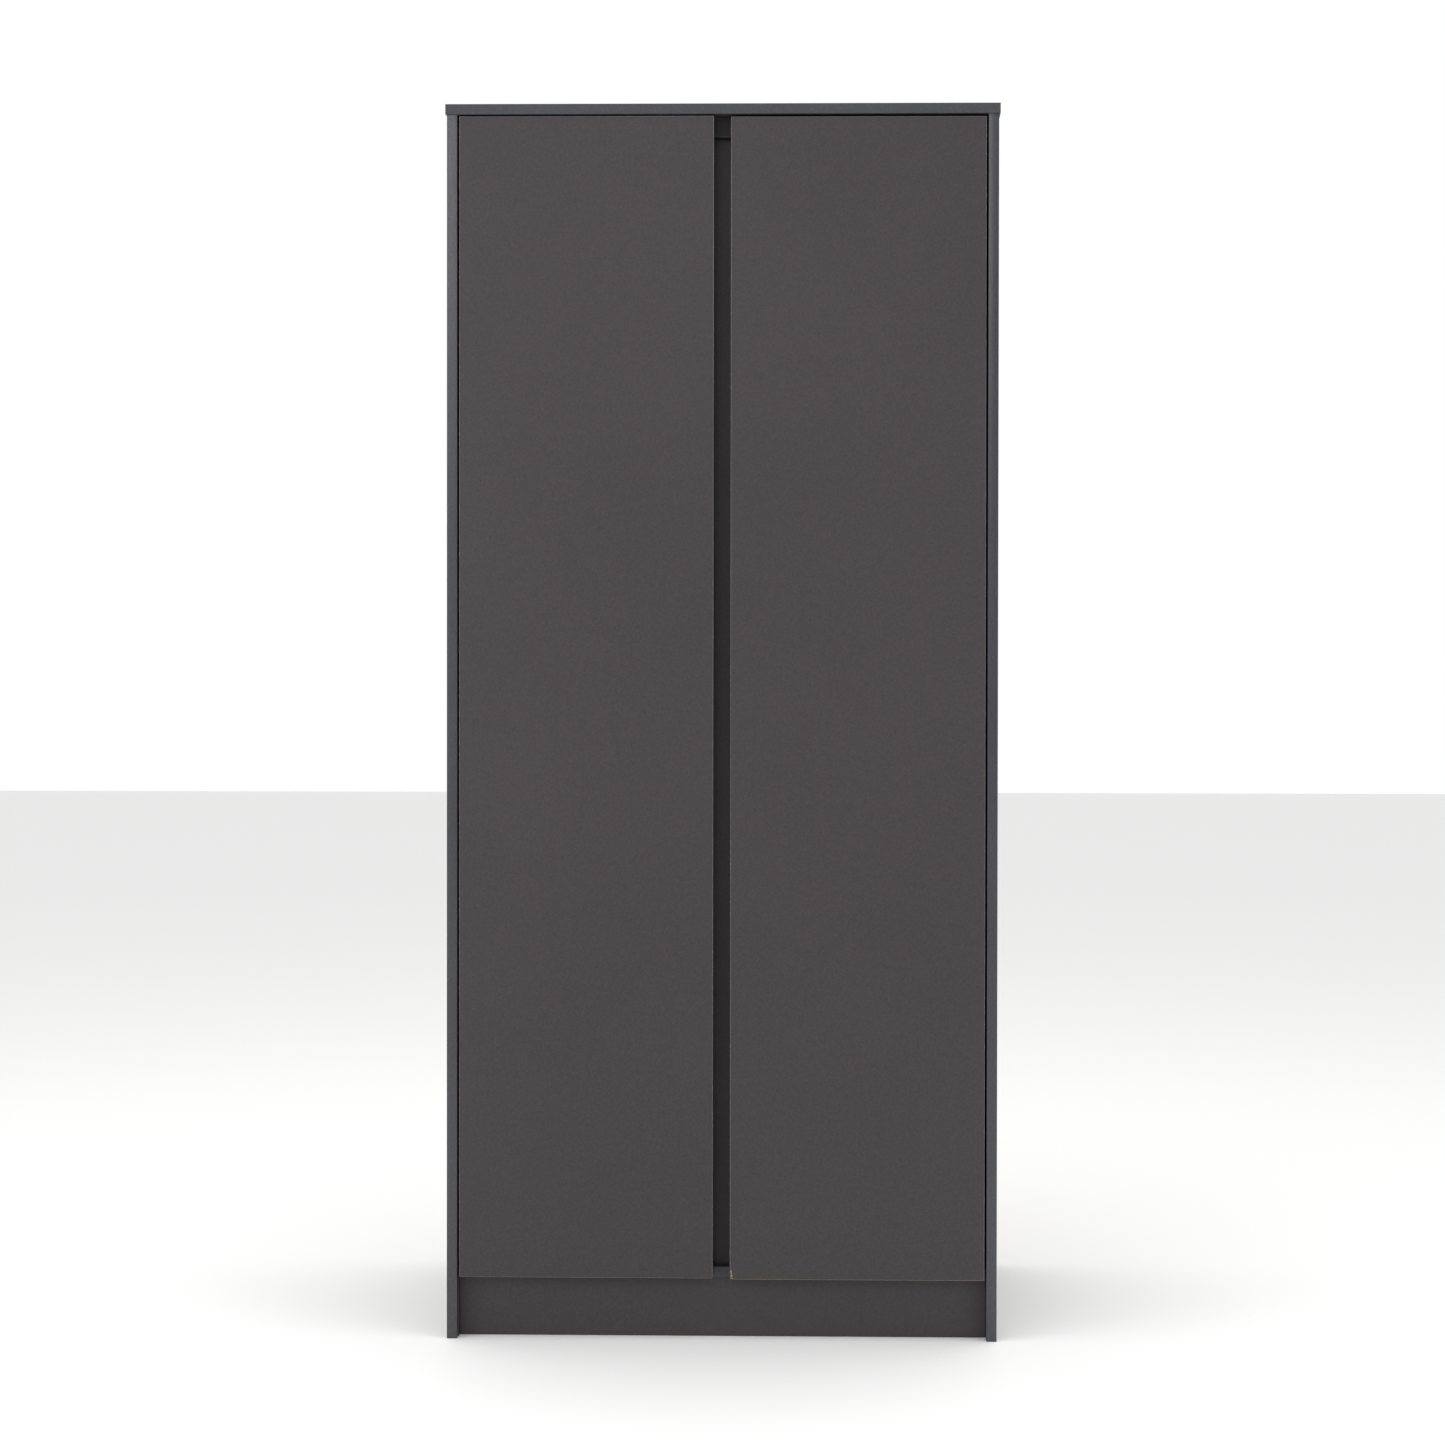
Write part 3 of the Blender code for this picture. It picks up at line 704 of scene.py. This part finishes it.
def knockCorners():
    for node, marks in knocks.items():
        low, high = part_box(node)
        for side, end, reach, height in marks:
            corner = (low.x if side == "left" else high.x, low.y, low.z if end == "bottom" else high.z)
            for piece in cores[node]:
                deselectAll()
                bpy.ops.mesh.primitive_ico_sphere_add(subdivisions=3, radius=1)
                chip = bpy.context.object
                editSelected(
                    chip, "FACE", lambda middle, normal: True,
                    lambda: bpy.ops.transform.vertex_random(
                        offset=knockShape["uneven"], normal=1.0, seed=knockShape["seed"],
                    ),
                )
                chip.scale = (reach, knockShape["depth"], height)
                chip.location = corner
                cutAway(piece, settle(chip))


def slopes(face, least):
    # true where a face is turned away from all three axes
    return max(abs(part) for part in face.normal) < least


def ridesOn(node):
    return (node, "door_board") if node.endswith("_door") else ("carcass", "carcass_board")


def faceBoard(core, node, spec, body, slotName):
    # melamine on the two broad faces, raw chipboard on every edge and in every hole, pale where it is knocked
    thin = spec["thin"]
    low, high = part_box(node)
    # the top rail and the centre post get the darker melamine, painted shade
    melamine = finishes[faceFinish.get(node, "melamine")]
    finish(core, body, slotName, [melamine, finishes["chipboard"], finishes["knocked"]], node)
    for face in core.data.polygons:
        depth = min(abs(face.center[thin] - low[thin]), abs(face.center[thin] - high[thin]))
        onFace = depth < edging["eased"] and abs(face.normal[thin]) > 0.5
        nearFront = node in knocks and face.center.y < low.y + 2 * knockShape["depth"]
        face.material_index = 2 if nearFront and slopes(face, 0.999) else int(not onFace)


def edgeBoard(edge, node, body, slotName):
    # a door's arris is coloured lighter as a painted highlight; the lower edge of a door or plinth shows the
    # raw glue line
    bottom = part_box(node)[0].z
    paintedArrisHighlight = int(node.endswith("_door"))
    raw = 2 if paintedArrisHighlight or node.endswith("plinth") else 0
    band = finishes[bandFinish.get(node, "edging")]
    # the second finish is the lighter arris colour, a painted highlight
    finish(edge, body, slotName, [band, finishes["paintedArrisHighlight"], finishes["rawLine"]])
    for face in edge.data.polygons:
        if slopes(face, 0.98):
            face.material_index = raw if face.center.z < bottom + edging["rawWithin"] else paintedArrisHighlight
    smooth(edge, 50)


knockCorners()
for node, spec in boards.items():
    core, *bands = cores[node]
    faceBoard(core, node, spec, *ridesOn(node))
    edgeBoard(joined(bands, node + "_edging"), node, *ridesOn(node))
print("worn corners and board faces done")


back = {"sheetArris": 0.0003, "stripArris": 0.0002}
nail = {"headRadius": 0.0016, "headRise": 0.0004, "sides": 12, "spacing": 0.115, "fromEdge": 0.007}


def modelNail():
    head = nail["headRadius"]
    bend = head * 0.2
    rise = nail["headRise"]
    profile = [(0, 0), (head, 0), *arc((head - bend, rise / 4), bend, 0, 90, 2), (0, rise)]
    return turned("nail", profile, nail["sides"])


def nailSpots(low, high, side):
    # a row up the outer edge, and three across: at the ends and along the shelf
    outer = low.x if side < 0 else high.x
    inset = nail["fromEdge"]
    tall, wide = high.z - low.z - 2 * inset, high.x - low.x - 2 * inset
    rows, columns = int(tall // nail["spacing"]), int(wide // nail["spacing"])
    spots = [(outer - side * inset, low.z + inset + tall * row / rows) for row in range(rows + 1)]
    for column in range(1, columns + 1):
        across = outer - side * (inset + wide * column / columns)
        spots += [(across, height) for height in (low.z + inset, nodeMiddle("hat_shelf").z, high.z - inset)]
    return spots


def makeBack():
    nailModel = modelNail()
    for word, side in hands.items():
        node = "back_panel_" + word
        panel = refined(node, node + "_sheet", back["sheetArris"])
        finish(panel, "carcass", "back_board", [finishes["hardboardFront"], finishes["hardboardRear"]], node)
        for face in panel.data.polygons:
            face.material_index = int(face.normal.y > -0.5)
        low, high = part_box(node)
        spots = nailSpots(low, high, side)
        heads = [place(copyOf(nailModel, "nail"), Vector((x, high.y, z)), (0, 1, 0)) for x, z in spots]
        finish(joined(heads, node + "_nails"), "carcass", "hinge_steel", finishes["screwSteel"])
    bpy.data.objects.remove(nailModel, do_unlink=True)
    strip = refined("back_joining_strip", "back_joining_strip_profile", back["stripArris"])
    finish(strip, "carcass", "joining_strip", finishes["strip"], "back_joining_strip")


makeBack()
print("back done")


screw = {
    "headRadius": 0.0034, "headRise": 0.0006, "crown": 0.0003, "countersink": 0.0006,
    "recessWidth": 0.0011, "recessDepth": 0.0012, "recessTurn": 20,
    "sides": 32,
}


def modelScrew():
    # pan head with a crosshead recess, made along +Z with its seat at zero
    radius, rise, sink = screw["headRadius"], screw["headRise"], screw["countersink"]
    bend = radius * 0.14
    profile = [(0, -sink), (radius * 0.55, -sink), (radius, 0)]
    profile += [*arc((radius - bend, rise * 0.4), bend, 0, 80, 3), (0, rise + screw["crown"])]
    head = turned("screw_head", profile, screw["sides"])
    for turn in (0, 90):
        width, depth = screw["recessWidth"] / 2, screw["recessDepth"]
        reach = radius * 0.62
        bar = slab("recess", (-reach, -width, rise - depth), (reach, width, rise + depth))
        editSelected(
            bar, "FACE", lambda middle, normal: normal.z < -0.5,
            lambda: bpy.ops.transform.resize(value=(0.45, 0.7, 1)),
        )
        bar.rotation_euler = (0, 0, math.radians(turn + screw["recessTurn"]))
        cutAway(head, settle(bar))
    smooth(head, 30)
    return head


screwModel = modelScrew()


def screwsAt(name, spots, towards, body, slotName="hinge_steel"):
    heads = [place(copyOf(screwModel, name), Vector(spot), towards) for spot in spots]
    return finish(joined(heads, name), body, slotName, finishes["screwSteel"])


hinge = {
    "cupRadius": 0.0172, "cupWall": 0.0010, "cupDepth": 0.0120,
    "rimWidth": 0.0015, "flange": 0.0012,
    "mouthBend": 0.0006, "rimBend": 0.0004, "innerBend": 0.0014, "outerBend": 0.0022,
    "cupSides": 64,
    "wingReach": 0.029, "wingNear": 0.0025, "wingFar": 0.0145, "wingCorner": 0.005, "wingArris": 0.0002,
    "wingScrewAcross": 0.0095, "wingScrewUp": 0.0225,
    "plateScrewUp": 0.016, "plateScrewIn": 0.012, "plateWing": 0.0022,
    "armScrewsIn": (0.008, 0.024), "armTop": 0.0147,  # from the arm's rear end, and out from the panel
    "rivetRadius": 0.0016, "rivetDome": 0.0004, "rivetSides": 24,
    "steelArris": 0.00035, "linkArris": 0.0002, "castArris": 0.0006,
}


def modelCup():
    # a drawn steel cup along +Z: its mouth is up, zero is the door's back
    radius, wall = hinge["cupRadius"], hinge["cupWall"]
    bottom = 2 * touch - hinge["cupDepth"]
    top = touch + hinge["flange"]
    rim, inner = radius + hinge["rimWidth"], radius - wall
    mouthBend, rimBend = hinge["mouthBend"], hinge["rimBend"]
    innerBend, outerBend = hinge["innerBend"], hinge["outerBend"]
    profile = [(0, bottom + wall)]
    profile += arc((inner - innerBend, bottom + wall + innerBend), innerBend, -90, 0)
    profile += arc((inner + mouthBend, top - mouthBend), mouthBend, 180, 90)
    profile += arc((rim - rimBend, top - rimBend), rimBend, 90, 0)
    profile += [(rim, touch), (radius, touch)]
    profile += arc((radius - outerBend, bottom + outerBend), outerBend, 0, -90)
    profile += [(0, bottom)]
    return turned("cup", profile, hinge["cupSides"])


def modelWings(side):
    # the plate with the two screw wings, before the cup's mouth is bored in it
    near, far, reach = hinge["wingNear"], hinge["wingFar"], hinge["wingReach"]
    across = sorted((-side * near, -side * far))
    wings = slab("wings", (across[0], touch, -reach), (across[1], touch + hinge["flange"], reach))
    editSelected(
        wings, "EDGE",
        lambda first, second: abs(first.y - second.y) > same and first.x * -side > (near + far) / 2,
        lambda: bpy.ops.mesh.bevel(offset=hinge["wingCorner"], segments=6, affect="EDGES"),
    )
    return wings


def makeCup(cupModel, word, side, height):
    node = f"hinge_cup_{word}_{height}"
    body = word + "_door"
    middle = nodeMiddle(node)
    spot = Vector((middle.x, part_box(body)[1].y, middle.z))
    cup = place(copyOf(cupModel, node + "_drawn"), spot, (0, 1, 0))
    wings = modelWings(side)
    wings.location = spot
    settle(wings)
    deselectAll()
    bpy.ops.mesh.primitive_cylinder_add(
        vertices=hinge["cupSides"], radius=hinge["cupRadius"] + touch, depth=10 * hinge["flange"],
        location=spot, rotation=(math.pi / 2, 0, 0),
    )
    cutAway(wings, settle(bpy.context.object))
    roundEdges(wings, hinge["wingArris"])
    finish(joined([cup, wings], node + "_drawn"), body, "hinge_steel", finishes["nickel"], node)
    across = -side * hinge["wingScrewAcross"]
    seat = touch + hinge["flange"]
    spots = [spot + Vector((across, seat, way * hinge["wingScrewUp"])) for way in (-1, 1)]
    screwsAt(node + "_screws", spots, (0, 1, 0), body)


def linkAxes(word):
    # where the two links turn on the arms, from the frame's joints
    axes = []
    for joint in frame["joints"]:
        if joint["child"].startswith(word) and joint["child"].endswith("links"):
            axes.append(Vector(joint["pos_m"]))
    return axes


def rivetsAt(name, axes, height, reach, body):
    radius, dome = hinge["rivetRadius"], hinge["rivetDome"]
    rivets = []
    for axis in axes:
        profile = [(0, -reach - dome), *arc((radius * 0.75, -reach), radius * 0.25, -90, 0, 3)]
        profile += [*arc((radius * 0.75, reach), radius * 0.25, 0, 90, 3), (0, reach + dome)]
        rivet = turned(name, profile, hinge["rivetSides"])
        rivet.location = (axis.x, axis.y, height)
        rivets.append(settle(rivet))
    return finish(joined(rivets, name), body, "hinge_steel", finishes["screwSteel"])


def makeHinge(cupModel, word, side, height):
    kinds = ("arm", "mounting_plate", "inner_link", "outer_link")
    names = {kind: f"hinge_{kind}_{word}_{height}" for kind in kinds}
    makeCup(cupModel, word, side, height)
    arm = refined(names["arm"], names["arm"] + "_pressed", hinge["steelArris"])
    finish(arm, "carcass", "hinge_steel", finishes["nickel"], names["arm"])
    plate = refined(names["mounting_plate"], names["mounting_plate"] + "_cast", hinge["castArris"])
    finish(plate, "carcass", "zinc_casting", finishes["zinc"], names["mounting_plate"])
    for kind in ("inner_link", "outer_link"):
        link = refined(names[kind], names[kind] + "_pressed", hinge["linkArris"])
        finish(link, f"{word}_{kind}s", "hinge_steel", finishes["nickel"], names[kind])
    armLow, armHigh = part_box(names["arm"])
    plateLow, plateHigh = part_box(names["mounting_plate"])
    middle = nodeMiddle(names["mounting_plate"])
    wall = plateLow.x if side < 0 else plateHigh.x
    wing = wall - side * hinge["plateWing"]
    tail = wall - side * hinge["armTop"]
    away = (-side, 0, 0)
    seat = plateLow.y + hinge["plateScrewIn"]
    spots = [(wing, seat, middle.z + way * hinge["plateScrewUp"]) for way in (-1, 1)]
    screwsAt(names["mounting_plate"] + "_screws", spots, away, "carcass")
    spots = [(tail, armHigh.y - inset, middle.z) for inset in hinge["armScrewsIn"]]
    screwsAt(names["arm"] + "_screws", spots, away, "carcass")
    rivetsAt(names["arm"] + "_rivets", linkAxes(word), middle.z, (armHigh.z - armLow.z) / 2, "carcass")


def makeHinges():
    cupModel = modelCup()
    for word, side in hands.items():
        for height in hingePlaces:
            makeHinge(cupModel, word, side, height)
    bpy.data.objects.remove(cupModel, do_unlink=True)


makeHinges()
print("hinges done")


tube = {"wall": 0.0012, "endRounding": 0.0003, "sides": 64}
socket = {
    "floor": 0.0030, "flange": 0.0026, "flangeBend": 0.0006,
    "collarInset": 0.0014, "collarBend": 0.0005,
}


def makeRail():
    low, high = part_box("hanging_rail")
    middle = (low + high) / 2
    radius, length = (high.z - low.z) / 2, high.x - low.x
    inner = radius - tube["wall"]
    bend = tube["endRounding"]
    profile = arc((radius - bend, bend), bend, -90, 0, 2)
    profile += arc((radius - bend, length - bend), bend, 0, 90, 2)
    profile += [(inner, length), (inner, 0), profile[0]]
    rail = turned("hanging_rail_tube", profile, tube["sides"])
    place(rail, Vector((low.x, middle.y, middle.z)), (1, 0, 0))
    finish(rail, "carcass", "rail_tube", finishes["chrome"], "hanging_rail")
    for word, side in hands.items():
        makeSocket(word, side, radius + touch)


def makeSocket(word, side, bore):
    # a cup with a flange against the panel, open towards the tube
    node = "rail_socket_" + word
    low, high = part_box(node)
    middle = (low + high) / 2
    outer, length = (high.z - low.z) / 2, high.x - low.x
    collar = outer - socket["collarInset"]
    bend, collarBend, floor = socket["flangeBend"], socket["collarBend"], socket["floor"]
    profile = [(0, 0), (outer, 0), *arc((outer - bend, socket["flange"] - bend), bend, 0, 90, 3)]
    profile += [(collar, floor), *arc((collar - collarBend, length - collarBend), collarBend, 0, 90, 3)]
    profile += [(bore, length), (bore, floor), (0, floor)]
    cast = turned(node + "_cast", profile, tube["sides"])
    wall = high.x if side > 0 else low.x
    place(cast, Vector((wall, middle.y, middle.z)), (-side, 0, 0))
    finish(cast, "carcass", "zinc_casting", finishes["zinc"], node)


cam = {
    "arris": 0.0004, "rim": 0.0012, "dish": 0.0006,  # the end is dished inside its rim
    "slotReach": 0.0042, "slotWidth": 0.0014, "slotDepth": 0.0030,
    "sides": 48, "pinArris": 0.0003,
}


def makeCam(word, side, spot):
    node = f"connector_cam_{word}_{spot}"
    low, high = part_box(node)
    middle = (low + high) / 2
    radius, length = (high.z - low.z) / 2, high.x - low.x
    arris, rim, floor = cam["arris"], radius - cam["rim"], length - cam["dish"]
    profile = [(0, 0), *arc((radius - arris, arris), arris, -90, 0, 3)]
    profile += [*arc((radius - arris, length - arris), arris, 0, 90, 3), (rim, length)]
    profile += [(rim - arris, floor), (0, floor)]
    cast = turned(node + "_cast", profile, cam["sides"])
    for turn in (45, 135):
        reach, width, depth = cam["slotReach"], cam["slotWidth"] / 2, cam["slotDepth"]
        bar = slab("slot", (-reach, -width, length - depth), (reach, width, length + depth))
        bar.rotation_euler = (0, 0, math.radians(turn))
        cutAway(cast, settle(bar))
    smooth(cast)
    deep = high.x if side > 0 else low.x
    place(cast, Vector((deep, middle.y, middle.z)), (-side, 0, 0))
    finish(cast, "carcass", "zinc_casting", finishes["zinc"], node)


def makeCamsAndPins():
    for word, side in hands.items():
        for spot in ("front", "rear"):
            makeCam(word, side, spot)
            node = f"shelf_pin_{word}_{spot}"
            pin = refined(node, node + "_turned", cam["pinArris"])
            finish(pin, "carcass", "hinge_steel", finishes["nickel"], node)


bumper = {"straight": 0.35, "bend": 0.55, "sides": 32}  # shares of its height and of its radius


def makeBumpers():
    for word in hands:
        for spot in ("bottom", "top"):
            node = f"door_bumper_{word}_{spot}"
            low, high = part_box(node)
            middle = (low + high) / 2
            radius, rise = (high.z - low.z) / 2, high.y - low.y
            straight, bend = rise * bumper["straight"], radius * bumper["bend"]
            crown = arc((radius - bend, straight), bend, 0, 90, 6)[1:-1]
            profile = [(0, 0), (radius, 0), (radius, straight), *crown]
            profile = [(across, min(up, rise)) for across, up in profile] + [(0, rise)]
            dome = turned(node + "_dome", profile, bumper["sides"])
            place(dome, Vector((middle.x, low.y, middle.z)), (0, 1, 0))
            finish(dome, word + "_door", "bumper", finishes["bumper"], node)


bracket = {"sheet": 0.002, "arris": 0.0004, "screwOff": 0.004}


def makeBracket():
    low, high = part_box("wall_bracket")
    middle = (low + high) / 2
    sheet, off = bracket["sheet"], bracket["screwOff"]
    bent = refined("wall_bracket", "wall_bracket_bent", bracket["arris"])
    finish(bent, "carcass", "hinge_steel", finishes["nickel"], "wall_bracket")
    screwsAt("wall_bracket_top_screw", [(middle.x, middle.y - off, high.z - sheet)], (0, 0, -1), "carcass")
    screwsAt("wall_bracket_wall_screw", [(middle.x, high.y - sheet, middle.z - off)], (0, -1, 0), "carcass")


makeRail()
makeCamsAndPins()
makeBumpers()
makeBracket()
bpy.data.objects.remove(screwModel, do_unlink=True)
print("fittings done")


studio = {
    "floorSize": 40,
    "floorColour": "#f6f6f5",
    "wallColour": "#ffffff",  # the sweep behind the wardrobe
    "roomColour": "#bebec0",  # the dimmer room in front of it
    "worldStrength": 1.0,
    "lights": {  # place, width, height, watts and what it looks at
        "key": ((-0.95, -3.45, 2.36), 2.5, 0.8, 18, (-0.1, -0.25, 1.6)),
        "washLeft": ((-3.0, -2.2, 1.15), 2.0, 2.0, 25, (0.0, -0.25, 0.7)),
        "washRight": ((3.0, -2.2, 1.05), 2.0, 2.0, 21, (0.0, -0.25, 0.6)),
        "overhead": ((0.0, -0.5, 4.0), 4.0, 2.6, 60, (0.0, -0.5, 0.0)),
    },
}
camera = {
    "place": (0.220, -3.8667, 0.9423),
    "yaw": 1.0724,  # degrees, as are down and roll
    "down": 0.5529,
    "roll": 0.09,
    "lens": 62,
    "shiftAcross": -0.0719,
    "shiftUp": -0.0028,
}


def makeFloor():
    deselectAll()
    bpy.ops.mesh.primitive_plane_add(size=studio["floorSize"], location=(0, 0, 0))
    floor = bpy.context.object
    floor.name = "studio_floor"
    # emulsion paint rolled on a flat floor: pale and matt
    material, tree, shader, spot = newMaterial("painted studio floor")
    shader.inputs["Base Color"].default_value = linear(studio["floorColour"])
    shader.inputs["Roughness"].default_value = 0.8
    floor.data.materials.append(material)


def softLight(name, spot, width, height, watts, target):
    data = bpy.data.lights.new(name, "AREA")
    data.shape = "RECTANGLE"
    data.size = width
    data.size_y = height
    data.energy = watts
    lamp = bpy.data.objects.new(name, data)
    bpy.context.scene.collection.objects.link(lamp)
    lamp.location = spot
    lamp.rotation_euler = (Vector(target) - Vector(spot)).to_track_quat("-Z", "Y").to_euler()


def makeStudio():
    makeFloor()
    world = bpy.data.worlds.new("studio")
    bpy.context.scene.world = world
    world.use_nodes = True
    tree = world.node_tree
    background = tree.nodes["Background"]
    background.inputs["Strength"].default_value = studio["worldStrength"]
    facing = addNode(tree, "ShaderNodeTexCoord", {}, {})
    # on the world, Generated is the direction looked in
    parts = addNode(tree, "ShaderNodeSeparateXYZ", {}, {0: facing.outputs["Generated"]})
    behind = addNode(tree, "ShaderNodeMapRange", {"From Min": -1.0, "From Max": 0.2},
                     {"Value": parts.outputs["Y"]})
    shade = addNode(tree, "ShaderNodeMix", {
        "data_type": "RGBA", 6: linear(studio["roomColour"]), 7: linear(studio["wallColour"]),
    }, {0: behind.outputs["Result"]})
    tree.links.new(shade.outputs[2], background.inputs["Color"])
    for name, setting in studio["lights"].items():
        softLight(name, *setting)
    bpy.context.scene.view_settings.view_transform = "Standard"
    data = bpy.data.cameras.new("camera")
    data.lens = camera["lens"]
    data.shift_x = camera["shiftAcross"]
    data.shift_y = camera["shiftUp"]
    viewer = bpy.data.objects.new("camera", data)
    bpy.context.scene.collection.objects.link(viewer)
    heading = Matrix.Rotation(math.radians(camera["yaw"]), 4, "Z")
    tilt = Matrix.Rotation(math.radians(90 - camera["down"]), 4, "X")
    roll = Matrix.Rotation(math.radians(camera["roll"]), 4, "Z")
    viewer.matrix_world = Matrix.Translation(camera["place"]) @ heading @ tilt @ roll
    bpy.context.scene.camera = viewer


makeStudio()
